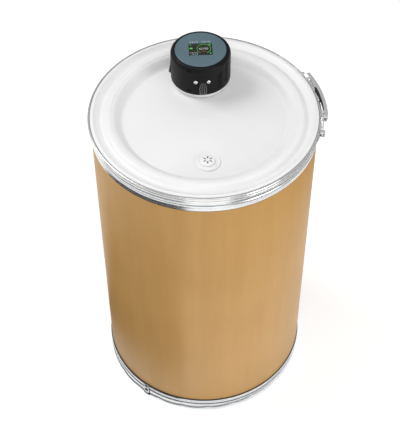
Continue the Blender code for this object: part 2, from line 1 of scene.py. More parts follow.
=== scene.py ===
"""Looks of the lever-lock fibre drum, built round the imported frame.

Profiles are in millimetres: heights on the lid and ring are measured from the drum's rim,
those on the control unit and the vent from their own feet, and angles are in degrees,
counter-clockwise from +X.  Everything is placed from the frame's own boxes.
"""

import math

import bmesh
import bpy
from mathutils import Matrix, Vector


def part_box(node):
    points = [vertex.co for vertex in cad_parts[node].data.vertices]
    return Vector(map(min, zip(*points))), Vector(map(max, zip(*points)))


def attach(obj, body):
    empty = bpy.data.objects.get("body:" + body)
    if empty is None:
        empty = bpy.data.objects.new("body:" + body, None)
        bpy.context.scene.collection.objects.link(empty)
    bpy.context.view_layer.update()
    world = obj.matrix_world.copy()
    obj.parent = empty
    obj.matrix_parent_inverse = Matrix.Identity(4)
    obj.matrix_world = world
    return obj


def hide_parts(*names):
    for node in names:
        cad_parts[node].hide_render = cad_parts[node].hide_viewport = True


MM = 0.001
BIG = 160
SMOOTH_ANGLE = math.radians(32.0)

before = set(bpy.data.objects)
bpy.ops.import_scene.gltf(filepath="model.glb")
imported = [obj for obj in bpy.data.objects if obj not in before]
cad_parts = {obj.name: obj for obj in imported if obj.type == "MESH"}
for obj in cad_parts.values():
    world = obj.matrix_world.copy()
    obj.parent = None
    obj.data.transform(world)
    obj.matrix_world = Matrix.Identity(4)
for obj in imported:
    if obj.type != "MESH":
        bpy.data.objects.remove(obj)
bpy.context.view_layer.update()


def middle(node):
    """Centre of a CAD node's box."""
    low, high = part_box(node)
    return (Vector(low) + Vector(high)) / 2


AXIS = middle("fibre_wall").to_2d()
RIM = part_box("lock_band")[1][2]
UNIT_TURN = math.radians(3.0)
UNIT_XY = middle("housing").to_2d()
PANEL_Z = RIM - 17.0 * MM
VENT_XY = middle("vent_body").to_2d()

DRUM = Matrix.Translation((AXIS.x, AXIS.y, 0.0))
TOP = Matrix.Translation((AXIS.x, AXIS.y, RIM))
UNIT = Matrix.Translation((UNIT_XY.x, UNIT_XY.y, RIM)) @ Matrix.Rotation(UNIT_TURN, 4, "Z")
VENT = Matrix.Translation((VENT_XY.x, VENT_XY.y, PANEL_Z))

RING_ENDS = (-3.4, 355.4)
PIVOT = (248.6, -2.4)
ANCHOR = (246.5, -13.0)
LINK_END = (246.5, 1.2)
FOOT_JOINT_ANGLE = -126.5
LEVER_ANGLES = (-3.2, 28.5)
RIVET_ANGLES = {
    "rivet_hinge_near": 2.6,
    "rivet_hinge_far": 6.4,
    "rivet_anchor_near": -8.8,
    "rivet_anchor_far": -16.6,
}
SCREEN = (49.0, 36.7)
SCREEN_TOP = 70.6
CLIP_ANGLES = {"clip_front": -88.2, "clip_left": 169.0}
CLIP_BODIES = {"clip_front": "front_clip", "clip_left": "left_clip"}
SCREW_ANGLES = {"clip_screw_left": -102.1, "clip_screw_right": -77.6}
CLIP_HALF_ANGLE = 8.0
CLIP_FOOT = 5.0
CLIP_TOP = 30.0
SCREW_Z = 36.0
VENT_COLUMNS = ((-53.0, 7), (-33.0, 9), (-13.0, 7), (7.0, 7), (27.0, 7))
SLOT_FIRST = 12.5
SLOT_PITCH = 5.85
SLOT_CUTTER = (8.0, 12.0, 2.1)


# ------------------------------------------------------------------ mesh tools


def polar(radius, angle, height=0.0):
    turn = math.radians(angle)
    return Vector((radius * math.cos(turn), radius * math.sin(turn), height))


def rounded(points, radius, count=4, closed=True):
    """A profile with each corner eased into a short curve."""
    result = []
    last = len(points) - 1
    for index, corner in enumerate(points):
        if not closed and index in (0, last):
            result.append(tuple(corner))
            continue
        here = Vector(corner)
        before = Vector(points[index - 1]) - here
        after = Vector(points[(index + 1) % len(points)]) - here
        reach = min(radius, before.length * 0.45, after.length * 0.45)
        start = here + before.normalized() * reach
        end = here + after.normalized() * reach
        for step in range(count + 1):
            share = step / count
            first = start.lerp(here, share)
            result.append(tuple(first.lerp(here.lerp(end, share), share)))
    return result


def s_curve(start, end, count=12):
    """Points of a smooth S from one (radius, height) to another."""
    points = []
    for step in range(count + 1):
        share = step / count
        rise = 0.5 - 0.5 * math.cos(math.pi * share)
        points.append((start[0] + (end[0] - start[0]) * share, start[1] + (end[1] - start[1]) * rise))
    return points


def finish_mesh(name, bm, place=None):
    """Turn a bmesh in millimetres into an object with clean, outward, smooth faces."""
    bmesh.ops.remove_doubles(bm, verts=bm.verts, dist=0.0005)
    bmesh.ops.recalc_face_normals(bm, faces=bm.faces)
    bmesh.ops.scale(bm, vec=(MM, MM, MM), verts=bm.verts)
    mesh = bpy.data.meshes.new(name)
    bm.to_mesh(mesh)
    bm.free()
    if place is not None:
        mesh.transform(place)
    mesh.shade_smooth()
    mesh.set_sharp_from_angle(angle=SMOOTH_ANGLE)
    obj = bpy.data.objects.new(name, mesh)
    bpy.context.scene.collection.objects.link(obj)
    return obj


def lathe(name, profile, place, steps=BIG):
    """A full turn of a (radius, height) profile; it closes on itself or on the axis."""
    bm = bmesh.new()
    verts = [bm.verts.new((radius, 0.0, height)) for radius, height in profile]
    edges = [bm.edges.new(pair) for pair in zip(verts, verts[1:])]
    if profile[0][0] > 0 or profile[-1][0] > 0:
        edges.append(bm.edges.new((verts[-1], verts[0])))
    bmesh.ops.spin(
        bm,
        geom=verts + edges,
        cent=(0.0, 0.0, 0.0),
        axis=(0.0, 0.0, 1.0),
        angle=math.tau,
        steps=steps,
    )
    return finish_mesh(name, bm, place)


def close_rings(bm, rings):
    """Faces between each ring of points and the next, and over both ends."""
    for ring, following in zip(rings, rings[1:]):
        for index in range(len(ring)):
            after = (index + 1) % len(ring)
            bm.faces.new((ring[index], ring[after], following[after], following[index]))
    bm.faces.new(rings[0])
    bm.faces.new(list(reversed(rings[-1])))


def sweep(name, section, first, last, steps, place):
    """A (radius, height) section carried round Z from one angle to another, with its ends closed."""
    bm = bmesh.new()
    rings = []
    for step in range(steps + 1):
        angle = first + (last - first) * step / steps
        rings.append([bm.verts.new(polar(radius, angle, height)) for radius, height in section])
    close_rings(bm, rings)
    return finish_mesh(name, bm, place)


def box_into(bm, size, centre, turn=0.0):
    """Add a box to a bmesh, turned about Z."""
    matrix = Matrix.Translation(Vector(centre)) @ Matrix.Rotation(math.radians(turn), 4, "Z")
    matrix = matrix @ Matrix.Diagonal((*size, 1.0))
    return bmesh.ops.create_cube(bm, size=1.0, matrix=matrix)["verts"]


def slab(name, size, centre, place, turn=0.0, bevel=0.0):
    """A box with rounded edges."""
    bm = bmesh.new()
    box_into(bm, size, centre, turn)
    if bevel:
        bmesh.ops.bevel(bm, geom=bm.edges[:], offset=bevel, segments=3, profile=0.5, affect="EDGES")
    return finish_mesh(name, bm, place)


def aimed(centre, direction):
    """A matrix whose Z axis points along a direction."""
    return Matrix.Translation(centre) @ Vector(direction).to_track_quat("Z", "Y").to_matrix().to_4x4()


def radial(radius, angle, height):
    """A place out on a wall, in metres, with its Z pointing straight out from the axis."""
    return aimed(polar(radius, angle, height) * MM, polar(1.0, angle))


def combine(piece, tool, operation="DIFFERENCE"):
    """Cut a tool from a piece, or join it on, and throw the tool away."""
    modifier = piece.modifiers.new("combine", "BOOLEAN")
    modifier.operation = operation
    modifier.object = tool
    modifier.solver = "EXACT"
    graph = bpy.context.evaluated_depsgraph_get()
    old = piece.data
    mesh = bpy.data.meshes.new_from_object(piece.evaluated_get(graph))
    piece.modifiers.clear()
    piece.data = mesh
    mesh.shade_smooth()
    mesh.set_sharp_from_angle(angle=SMOOTH_ANGLE)
    bpy.data.meshes.remove(old)
    bpy.data.objects.remove(tool, do_unlink=True)


def merge(name, objects):
    """Several objects made into one piece."""
    bm = bmesh.new()
    for obj in objects:
        bm.from_mesh(obj.data)
        bpy.data.objects.remove(obj, do_unlink=True)
    mesh = bpy.data.meshes.new(name)
    bm.to_mesh(mesh)
    bm.free()
    mesh.shade_smooth()
    mesh.set_sharp_from_angle(angle=SMOOTH_ANGLE)
    obj = bpy.data.objects.new(name, mesh)
    bpy.context.scene.collection.objects.link(obj)
    return obj


def show(piece, material, body, slot, *nodes):
    """Give a piece its material, its body and the CAD nodes it stands for; the slot is not used."""
    piece.data.materials.clear()
    piece.data.materials.append(material)
    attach(piece, body)
    if nodes:
        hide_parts(*nodes)
    return piece


# ------------------------------------------------------------------- materials


class Shader:
    """A Principled material and short ways to hang textures on it."""

    def __init__(self, name, colour, roughness, metallic=0.0, specular=0.5):
        self.material = bpy.data.materials.new(name)
        self.material.use_nodes = True
        self.nodes = self.material.node_tree.nodes
        self.links = self.material.node_tree.links
        self.principled = self.nodes["Principled BSDF"]
        self.set("Base Color", (*colour, 1.0))
        self.set("Roughness", roughness)
        self.set("Metallic", metallic)
        self.set("Specular IOR Level", specular)
        self.coords = self.nodes.new("ShaderNodeTexCoord").outputs["Object"]

    def set(self, socket, value):
        self.principled.inputs[socket].default_value = value

    def stretched(self, scale):
        """Object coordinates, scaled along each axis."""
        mapping = self.nodes.new("ShaderNodeMapping")
        mapping.inputs["Scale"].default_value = scale
        self.links.new(self.coords, mapping.inputs["Vector"])
        return mapping.outputs["Vector"]

    def noise(self, scale, detail=4.0, roughness=0.55, vector=None):
        node = self.nodes.new("ShaderNodeTexNoise")
        node.inputs["Scale"].default_value = scale
        node.inputs["Detail"].default_value = detail
        node.inputs["Roughness"].default_value = roughness
        self.links.new(vector or self.coords, node.inputs["Vector"])
        return node.outputs["Fac"]

    def cells(self, scale):
        node = self.nodes.new("ShaderNodeTexVoronoi")
        node.inputs["Scale"].default_value = scale
        self.links.new(self.coords, node.inputs["Vector"])
        return node.outputs["Color"]

    def ramp(self, fac, low, high, start=0.3, end=0.7):
        """A colour that runs from low to high as a texture does."""
        node = self.nodes.new("ShaderNodeValToRGB")
        node.color_ramp.elements[0].position = start
        node.color_ramp.elements[0].color = (*low, 1.0)
        node.color_ramp.elements[1].position = end
        node.color_ramp.elements[1].color = (*high, 1.0)
        self.links.new(fac, node.inputs["Fac"])
        return node.outputs["Color"]

    def mix(self, first, second, share=0.5, mode="MIX"):
        node = self.nodes.new("ShaderNodeMix")
        node.data_type = "RGBA"
        node.blend_type = mode
        node.inputs["Factor"].default_value = share
        self.links.new(first, node.inputs["A"])
        self.links.new(second, node.inputs["B"])
        return node.outputs["Result"]

    def spread(self, fac, low, high, socket="Roughness"):
        """Drive a number on the shader between two values."""
        node = self.nodes.new("ShaderNodeMapRange")
        node.inputs["To Min"].default_value = low
        node.inputs["To Max"].default_value = high
        self.links.new(fac, node.inputs["Value"])
        self.links.new(node.outputs["Result"], self.principled.inputs[socket])

    def colour(self, output):
        self.links.new(output, self.principled.inputs["Base Color"])

    def bump(self, height, strength, distance=0.0002):
        node = self.nodes.new("ShaderNodeBump")
        node.inputs["Strength"].default_value = strength
        node.inputs["Distance"].default_value = distance
        self.links.new(height, node.inputs["Height"])
        self.links.new(node.outputs["Normal"], self.principled.inputs["Normal"])


def kraft_paper():
    shader = Shader("kraft_paper", (0.46, 0.26, 0.08), 0.45)
    mottle = shader.noise(5.0, 3.0)
    streaks = shader.noise(6.0, 5.0, 0.6, shader.stretched((6.0, 6.0, 0.6)))
    fibres = shader.noise(420.0, 6.0, 0.7, shader.stretched((1.0, 1.0, 2.2)))
    broad = shader.ramp(mottle, (0.455, 0.237, 0.052), (0.52, 0.290, 0.080))
    banded = shader.ramp(streaks, (0.445, 0.232, 0.052), (0.52, 0.290, 0.082))
    fine = shader.ramp(fibres, (0.80, 0.78, 0.74), (1.0, 1.0, 1.0), 0.25, 0.6)
    shader.colour(shader.mix(shader.mix(broad, banded), fine, 0.55, "MULTIPLY"))
    shader.spread(fibres, 0.36, 0.50)
    shader.bump(fibres, 0.12)
    return shader.material


def sheet_steel(name, tint, rough_low, rough_high, spangle):
    """Zinc-coated sheet: faint crystals, drawn lines round it and soft smudges."""
    shader = Shader(name, tint, rough_low, 1.0)
    smudge = shader.noise(22.0, 5.0)
    lines = shader.noise(60.0, 4.0, 0.6, shader.stretched((1.0, 1.0, 30.0)))
    crystals = shader.cells(160.0)
    dark = tuple(0.90 * channel for channel in tint)
    base = shader.ramp(smudge, dark, tint)
    flakes = shader.ramp(crystals, (1.0 - spangle,) * 3, (1.0, 1.0, 1.0), 0.0, 1.0)
    shader.colour(shader.mix(base, flakes, 1.0, "MULTIPLY"))
    shader.spread(lines, rough_low, rough_high)
    shader.bump(lines, 0.05, 0.0001)
    return shader.material


def moulded(name, colour, roughness, grain, depth, tone=0.06, specular=0.5):
    """Moulded plastic: a fine even grain, and a little unevenness in tone and shine."""
    shader = Shader(name, colour, roughness, 0.0, specular)
    cloud = shader.noise(14.0, 3.0)
    fine = shader.noise(grain, 3.0, 0.6)
    low = tuple(channel * (1.0 - tone) for channel in colour)
    high = tuple(min(1.0, channel * (1.0 + tone)) for channel in colour)
    shader.colour(shader.ramp(cloud, low, high))
    shader.spread(fine, roughness - 0.06, roughness + 0.08)
    shader.bump(fine, depth, 0.0001)
    return shader.material


def white_polyethylene():
    shader = Shader("white_polyethylene", (0.86, 0.86, 0.86), 0.34)
    cloud = shader.noise(7.0, 3.0)
    swirl = shader.noise(90.0, 4.0, 0.6)
    shader.colour(shader.ramp(cloud, (0.83, 0.83, 0.835), (0.87, 0.87, 0.87)))
    shader.set("Subsurface Weight", 0.12)
    shader.set("Subsurface Radius", (0.004, 0.004, 0.004))
    shader.spread(swirl, 0.32, 0.44)
    shader.bump(swirl, 0.05)
    return shader.material


def felt():
    shader = Shader("filter_felt", (0.75, 0.75, 0.72), 0.95)
    fuzz = shader.noise(700.0, 6.0, 0.7)
    shader.colour(shader.ramp(fuzz, (0.6, 0.6, 0.57), (0.8, 0.8, 0.77)))
    shader.bump(fuzz, 0.6)
    return shader.material


def glow(name, colour, strength):
    """A lit mark on the display, a touch uneven like a real backlight."""
    shader = Shader(name, colour, 0.3)
    backlight = shader.noise(300.0, 2.0)
    dim = tuple(0.82 * channel for channel in colour)
    lit = shader.ramp(backlight, dim, colour)
    shader.colour(lit)
    shader.links.new(lit, shader.principled.inputs["Emission Color"])
    shader.set("Emission Strength", strength)
    return shader.material


def make_materials():
    return {
        "kraft": kraft_paper(),
        "board": moulded("fibreboard", (0.30, 0.19, 0.10), 0.85, 260.0, 0.4, 0.15),
        # Black used only for painted shade: dark rings and blocks in gaps, grooves, crimps and under the vent
        # cap.
        "painted_shade": moulded("painted_shade_black", (0.012, 0.011, 0.010), 0.6, 300.0, 0.2),
        "steel": sheet_steel("galvanised_steel", (0.80, 0.82, 0.84), 0.16, 0.30, 0.10),
        "zinc": sheet_steel("zinc_plate", (0.86, 0.86, 0.86), 0.12, 0.24, 0.04),
        "lid": white_polyethylene(),
        # Dark rubber for the gaskets, also used as painted shade for the pad inside the lever.
        "seal": moulded("sponge_rubber", (0.03, 0.03, 0.03), 0.9, 900.0, 0.5),
        "housing": moulded("black_abs", (0.006, 0.006, 0.0065), 0.46, 1500.0, 0.2, 0.1, 0.14),
        "clip": moulded("black_clip", (0.004, 0.004, 0.004), 0.4, 1500.0, 0.2, 0.1, 0.3),
        # Lighter grey for the clip's ribs: painted highlight along them.
        "rib_highlight": moulded("rib_painted_highlight", (0.14, 0.14, 0.145), 0.34, 1500.0, 0.2, 0.1),
        "faceplate": moulded("slate_faceplate", (0.090, 0.148, 0.180), 0.45, 1200.0, 0.12, 0.05),
        "legend": moulded("printed_mark", (0.42, 0.46, 0.48), 0.5, 900.0, 0.05),
        "glass": moulded("display_glass", (0.006, 0.006, 0.007), 0.12, 400.0, 0.01),
        "circuit": moulded("circuit_board", (0.02, 0.13, 0.05), 0.5, 500.0, 0.3, 0.2),
        "battery": moulded("battery_wrap", (0.08, 0.17, 0.42), 0.4, 300.0, 0.2),
        "filter": felt(),
        "lit_green": glow("lit_green", (0.06, 0.50, 0.02), 0.40),
        "lit_white": glow("lit_white", (0.55, 0.60, 0.55), 0.22),
        "lit_amber": glow("lit_amber", (0.45, 0.10, 0.04), 0.3),
    }


# ------------------------------------------------------------------- drum body


def kraft_wall(materials):
    low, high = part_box("fibre_wall")
    profile = [(235.0, high[2] / MM), (235.0, low[2] / MM), (230.0, low[2] / MM), (230.0, high[2] / MM)]
    wall = lathe("kraft_wall", rounded(profile, 0.6, 2), DRUM)
    show(wall, materials["kraft"], "drum_body", "kraft", "fibre_wall")


def bottom_rim(materials):
    """Rolled foot with two swages, a black ring of painted shade where the board goes into it, and another in
    the groove between the swages.
    """
    outside = [
        (236.2, 42.8),
        (237.3, 40.5),
        (237.4, 32.5),
        (235.8, 30.2),
        (235.8, 28.4),
        (237.3, 26.0),
        (237.2, 4.5),
        (235.6, 0.0),
    ]
    inside = [
        (229.2, 0.0),
        (228.4, 0.8),
        (228.4, 9.0),
        (223.0, 9.0),
        (223.0, 10.0),
        (228.8, 10.0),
        (228.8, 16.8),
        (227.6, 17.8),
        (227.6, 19.2),
        (228.8, 20.2),
        (228.8, 26.0),
    ]
    channel = [(229.7, 26.0), (229.7, 1.2), (235.3, 1.2), (235.3, 42.8)]
    rim = lathe("bottom_rim", rounded(outside + inside + channel, 1.8), DRUM)
    show(rim, materials["steel"], "drum_body", "steel", "bottom_chime")
    # Black ring over the rim's top edge: painted shade for the shaded gap where the board enters the chime.
    painted_shade = lathe("bottom_shade_line", [(236.6, 45.2), (236.8, 42.7), (235.1, 42.9), (235.1, 46.2)], DRUM)
    show(painted_shade, materials["painted_shade"], "drum_body", "seal")
    # Black ring in the groove between the swages: painted shade.
    groove = lathe("bottom_groove_shade", [(236.4, 30.4), (236.4, 26.9), (235.6, 27.2), (235.6, 30.2)], DRUM)
    show(groove, materials["painted_shade"], "drum_body", "seal")


def bottom_joint(materials):
    """Crimped joint of the foot's strip: two pressed grooves, and two dark blocks and two dark strips along
    its edges that are painted shade.
    """
    angle = FOOT_JOINT_ANGLE
    section = rounded([(238.4, 42.0), (238.6, 30.0), (238.6, 3.0), (237.6, 1.2), (237.6, 42.0)], 0.8)
    clip = sweep("bottom_joint", section, angle - 1.7, angle + 1.7, 6, DRUM)
    for height, size in ((29.6, 2.0), (9.0, 2.6)):
        combine(clip, slab("notch", (3.0, 8.0, size), polar(238.8, angle, height), DRUM, angle, 0.6))
    show(clip, materials["steel"], "drum_body", "steel", "bottom_chime_joint")
    # Dark blocks on the joint and strips along its edges: painted shade in the crimps and at the strip's
    # edges.
    shade_marks = []
    for height, size in ((37.0, 7.5), (22.0, 8.5)):
        shade_marks.append(slab("shade_mark", (3.2, 9.0, size), polar(237.6, angle, height), DRUM, angle, 0.5))
    for edge in (angle - 1.85, angle + 1.85):
        shade_marks.append(slab("shade_mark", (1.8, 1.8, 38.0), polar(237.4, edge, 22.5), DRUM, edge, 0.3))
    show(merge("bottom_joint_shade", shade_marks), materials["painted_shade"], "drum_body", "seal")


def top_rim(materials):
    outside = [
        (236.4, -5.0),
        (237.6, -6.5),
        (237.6, -10.0),
        (236.2, -12.5),
        (236.2, -22.0),
        (237.7, -24.5),
        (237.7, -29.0),
        (236.3, -32.0),
        (236.2, -39.6),
    ]
    channel = [(235.3, -39.6), (235.3, -6.0), (229.7, -6.0), (229.7, -31.0)]
    inside = [(228.8, -31.0), (228.8, -6.0), (229.8, -5.0)]
    rim = lathe("top_rim", rounded(outside + channel + inside, 1.6), TOP)
    show(rim, materials["steel"], "drum_body", "steel", "top_chime")
    # Black ring under the rim's lower edge: painted shade for the shaded gap where the board meets the chime.
    painted_shade = lathe("top_shade_line", [(235.9, -39.9), (235.6, -41.0), (235.1, -41.0), (235.1, -39.9)], TOP)
    show(painted_shade, materials["painted_shade"], "drum_body", "seal")


# ---------------------------------------------------------------- closing ring


def closing_band(materials):
    section = [
        (236.3, 0.0),
        (239.2, 0.0),
        (240.3, -1.6),
        (240.3, -4.2),
        (239.7, -5.2),
        (239.7, -6.8),
        (240.3, -7.8),
        (240.3, -11.4),
        (239.4, -13.0),
        (238.3, -13.0),
        (238.3, -12.0),
        (239.3, -11.2),
        (239.3, -1.8),
        (238.4, -1.0),
        (236.3, -1.0),
    ]
    first, last = RING_ENDS
    band = sweep("closing_band", rounded(section, 1.3, 3), first, last, BIG, TOP)
    show(band, materials["zinc"], "closing_ring", "zinc", "lock_band")
    # Black ring at the bottom of the gap between lid and band: painted shade.
    gap = lathe("edge_gap_shade", [(235.5, -0.9), (236.2, -0.9), (236.2, -1.4), (235.5, -1.4)], TOP)
    show(gap, materials["painted_shade"], "lid", "seal")


def bracket_ears(reach):
    """U section of a bracket's two ears, standing out from its web."""
    points = [
        (reach, -1.6),
        (reach, -2.8),
        (242.1, -2.8),
        (242.1, -11.2),
        (reach, -11.2),
        (reach, -12.4),
        (240.9, -12.4),
        (240.9, -1.6),
    ]
    return rounded(points, 0.5, 2)


def band_bracket(name, node, plate, ears, reach, pivot, materials):
    """A plate tapering onto the band, with two ears round a pivot."""
    first, last = plate
    bm = bmesh.new()
    rings = []
    steps = 10
    for step in range(steps + 1):
        share = step / steps
        drop = 4.4 - 1.6 * (2.0 * share - 1.0) ** 4
        section = [(242.1, -7.0 + drop), (242.1, -7.0 - drop), (240.9, -7.4 - drop), (240.9, -6.6 + drop)]
        angle = first + (last - first) * share
        rings.append([bm.verts.new(polar(radius, angle, height)) for radius, height in section])
    close_rings(bm, rings)
    piece = finish_mesh(name, bm, TOP)
    half = math.degrees(ears / pivot[0])
    combine(piece, sweep("ears", bracket_ears(reach), pivot[1] - half, pivot[1] + half, 4, TOP), "UNION")
    combine(piece, post("hole", 2.3, -20.0, 5.0, polar(*pivot), TOP))
    show(piece, materials["zinc"], "closing_ring", "zinc", node)


def post(name, radius, low, high, centre, place, steps=32):
    """An upright rod with softly broken edges."""
    edge = min(0.3, radius * 0.2)
    profile = [(0.0, high), (radius - edge, high), (radius, high - edge)]
    profile += [(radius, low + edge), (radius - edge, low), (0.0, low)]
    return lathe(name, profile, place @ Matrix.Translation(Vector((centre[0], centre[1], 0.0)) * MM), steps)


def dome_head(name, radius, height, place, steps=32):
    """A rivet's domed head, standing on its own Z."""
    profile = [(0.0, height)]
    for step in range(1, 8):
        turn = math.radians(90.0 - 90.0 * step / 7)
        profile.append((radius * math.cos(turn), 0.25 + (height - 0.25) * math.sin(turn)))
    profile += [(radius, 0.0), (0.0, 0.0)]
    return lathe(name, profile, place, steps)


def ring_fittings(materials):
    """Brackets, rivets, pins and the seal eye, all fixed to the band."""
    zinc = materials["zinc"]
    band_bracket("hinge_plate", "hinge_bracket", (-2.4, 9.0), 3.8, PIVOT[0] + 3.8, PIVOT, materials)
    band_bracket("anchor_plate", "link_bracket", (-19.0, -6.4), 5.0, ANCHOR[0] + 4.0, ANCHOR, materials)
    for node, angle in RIVET_ANGLES.items():
        head = dome_head(node + "_head", 2.4, 1.3, TOP @ radial(242.4, angle, -7.0))
        show(head, zinc, "closing_ring", "zinc", node)
    pins = (
        ("pivot_pin_top", "lever_pin_upper", PIVOT, -3.4, 0.4, 0.4, 1.6),
        ("pivot_pin_bottom", "lever_pin_lower", PIVOT, -14.4, -10.6, -15.6, -14.4),
        ("anchor_pin", "link_anchor_pin", ANCHOR, -13.4, -1.2, -1.2, 0.0),
    )
    for name, node, spot, low, high, head_low, head_high in pins:
        pin = post(name, 2.0, low, high, polar(*spot), TOP)
        combine(pin, post("head", 3.7, head_low, head_high, polar(*spot), TOP), "UNION")
        show(pin, zinc, "closing_ring", "zinc", node)
    eye = slab("seal_loop", (7.0, 7.0, 2.0), polar(244.4, 31.0, -7.0), TOP, 31.0, 0.7)
    combine(eye, post("hole", 1.8, -12.0, -2.0, polar(244.7, 31.0), TOP))
    show(eye, zinc, "closing_ring", "zinc", "seal_eye")


def lever(materials):
    """Arched channel lever with rolled edges and an open heel for the link."""
    section = [
        (254.0, 0.0),
        (254.0, -14.0),
        (246.5, -14.0),
        (246.5, -12.8),
        (252.8, -12.8),
        (252.8, -1.2),
        (246.5, -1.2),
        (246.5, 0.0),
    ]
    piece = sweep("lever", rounded(section, 0.9, 3), *LEVER_ANGLES, 26, TOP)
    combine(piece, post("hole", 2.35, -20.0, 5.0, polar(*PIVOT), TOP))
    heel = [(256.0, 2.0), (256.0, -16.0), (252.0, -16.0), (252.0, 2.0)]
    combine(piece, sweep("heel", heel, -5.0, -2.1, 2, TOP))
    slot = [(256.0, -3.4), (256.0, -10.6), (251.0, -10.6), (251.0, -3.4)]
    combine(piece, sweep("slot", slot, -5.0, 5.6, 4, TOP))
    for angle in (19.6, 22.4):
        combine(piece, post("hole", 1.7, -4.0, 4.0, (0.0, 0.0), TOP @ radial(253.0, angle, -7.0)))
    show(piece, materials["zinc"], "lever", "zinc", "lever_handle")
    # Dark pad inside the lever's channel: painted shade for the gap between lever and band.
    pad = rounded([(252.4, -1.6), (252.4, -12.4), (244.6, -12.4), (244.6, -2.4)], 0.6, 2)
    show(sweep("lever_shade_pad", pad, 9.8, 18.4, 12, TOP), materials["seal"], "lever", "seal", "lever_pad")


def link(materials):
    start, end = polar(*ANCHOR), polar(*LINK_END)
    along = end - start
    turn = math.degrees(math.atan2(along.y, along.x))
    centre = (start + end) / 2
    plate = post("link_strap", 3.6, -10.0, -4.0, start, TOP)
    strap = slab("strap", (along.length - 2.0, 1.6, 6.0), (centre.x, centre.y, -7.0), TOP, turn, 0.3)
    combine(plate, strap, "UNION")
    combine(plate, post("eye", 3.2, -10.0, -4.0, end, TOP), "UNION")
    combine(plate, post("hole", 2.3, -20.0, 5.0, start, TOP))
    combine(plate, post("hole", 1.8, -20.0, 5.0, end, TOP))
    show(plate, materials["zinc"], "link", "zinc", "link_plate")
    show(post("link_rivet", 1.5, -12.0, -2.0, end, TOP), materials["zinc"], "link", "zinc", "link_pin")


# ------------------------------------------------------------------------- lid


def lid_profile():
    """Top face from the centre outwards, then the edge, the plug skirt and the underside."""
    top = [(0.0, -16.2), (4.0, -16.25), (6.5, -16.5), (8.0, -16.85), (9.5, -17.0), (120.0, -17.0)]
    top += s_curve((168.0, -17.0), (191.0, 0.1), 14)
    top += [(191.7, 0.9), (193.0, 1.45), (195.5, 1.75), (198.5, 1.9), (201.5, 1.75), (203.8, 1.1)]
    top += [(205.8, -0.2), (208.0, -2.2), (210.2, -4.3), (212.2, -5.6), (214.0, -6.0), (216.5, -5.6)]
    top += [(224.0, -2.5), (224.6, -2.0), (228.0, -0.6), (228.6, 0.2), (229.3, 0.5), (230.1, 0.2)]
    top += [(230.8, -0.05), (234.6, 0.0), (235.2, -0.2), (235.4, -0.7)]
    edge = [(235.4, -1.4), (237.2, -1.5), (237.4, -1.7), (237.4, -2.2), (229.0, -2.3), (228.2, -3.1)]
    skirt = [(228.2, -26.0), (227.4, -27.0), (225.6, -27.0), (225.2, -26.0), (225.2, -4.9)]
    under = [(214.2, -9.2), (211.0, -8.4), (206.2, -4.2), (203.0, -1.7), (193.6, -1.4)]
    under += s_curve((190.4, -2.6), (167.0, -20.0), 10)
    return top + edge + skirt + under + [(0.0, -20.0)]


def lid(materials):
    cover = lathe("moulded_lid", lid_profile(), TOP, 192)
    combine(cover, post("stem_hole", 13.4, -40.0, 0.0, (0.0, 0.0), UNIT, 48))
    combine(cover, post("vent_hole", 9.3, -20.0, 20.0, (0.0, 0.0), VENT, 40))
    show(cover, materials["lid"], "lid", "lid", "lid_cover")


def unit_mount(materials):
    """Mounting cup under the control unit, with its threaded stem."""
    cup = [
        (61.4, -1.4),
        (61.4, -4.0),
        (60.6, -4.8),
        (50.0, -4.8),
        (50.0, -12.5),
        (54.0, -14.4),
        (54.0, -15.4),
        (13.0, -15.4),
        (13.0, -31.0),
        (9.0, -31.0),
        (9.0, -12.6),
        (46.5, -12.6),
        (46.5, -1.0),
    ]
    show(lathe("mounting_cup", rounded(cup, 0.8, 3), UNIT, 96), materials["lid"], "lid", "lid", "mount_base")
    for name, node, across, low, high, bore, place in (
        ("stem_nut", "mount_nut", 21.0, -27.0, -20.3, 13.4, UNIT),
        ("vent_lock_nut", "vent_nut", 15.5, -9.6, -3.4, 9.3, VENT),
    ):
        nut = lathe(name, [(0.0, high), (across, high), (across, low), (0.0, low)], place, 6)
        combine(nut, post("bore", bore, low - 5.0, high + 5.0, (0.0, 0.0), place, 48))
        show(nut, materials["lid"], "lid", "lid", node)


def breather_vent(materials):
    body = [
        (11.8, 4.2),
        (11.8, 2.4),
        (17.0, 2.4),
        (17.4, 2.8),
        (20.6, 2.6),
        (21.2, 1.7),
        (22.2, 1.7),
        (22.6, 2.3),
        (25.4, 2.0),
        (26.0, 1.3),
        (9.0, 1.3),
        (9.0, -14.0),
        (6.0, -14.0),
        (6.0, 4.2),
    ]
    show(lathe("vent_stem", rounded(body, 0.5, 2), VENT, 72), materials["lid"], "lid", "lid", "vent_body")
    shell = [(0.0, 7.0), (5.0, 6.96), (9.0, 6.75), (12.0, 6.3), (14.0, 5.5), (15.2, 4.5), (15.5, 3.6)]
    shell += [(15.4, 2.9), (12.6, 2.8), (12.6, 4.9), (11.0, 5.6), (0.0, 5.7)]
    cap = lathe("vent_dome", shell, VENT, 96)
    for turn in range(6):
        angle = 30.0 + 60.0 * turn
        combine(cap, slab("slot", (6.0, 2.5, 8.0), polar(7.0, angle, 8.6), VENT, angle, 0.6))
    grip = bmesh.new()
    for turn in range(30):
        angle = 12.0 * turn
        box_into(grip, (0.6, 1.1, 1.6), polar(15.3, angle, 3.9), angle)
    combine(cap, finish_mesh("grip", grip, VENT))
    show(cap, materials["lid"], "vent_top", "lid", "vent_cap")
    # Black disc under the cap: painted shade seen through the slots.
    mesh = lathe("vent_slot_shade", [(0.0, 5.65), (10.6, 5.55), (10.6, 5.4), (0.0, 5.4)], VENT, 48)
    show(mesh, materials["painted_shade"], "vent_top", "seal")


# ---------------------------------------------------------------- control unit


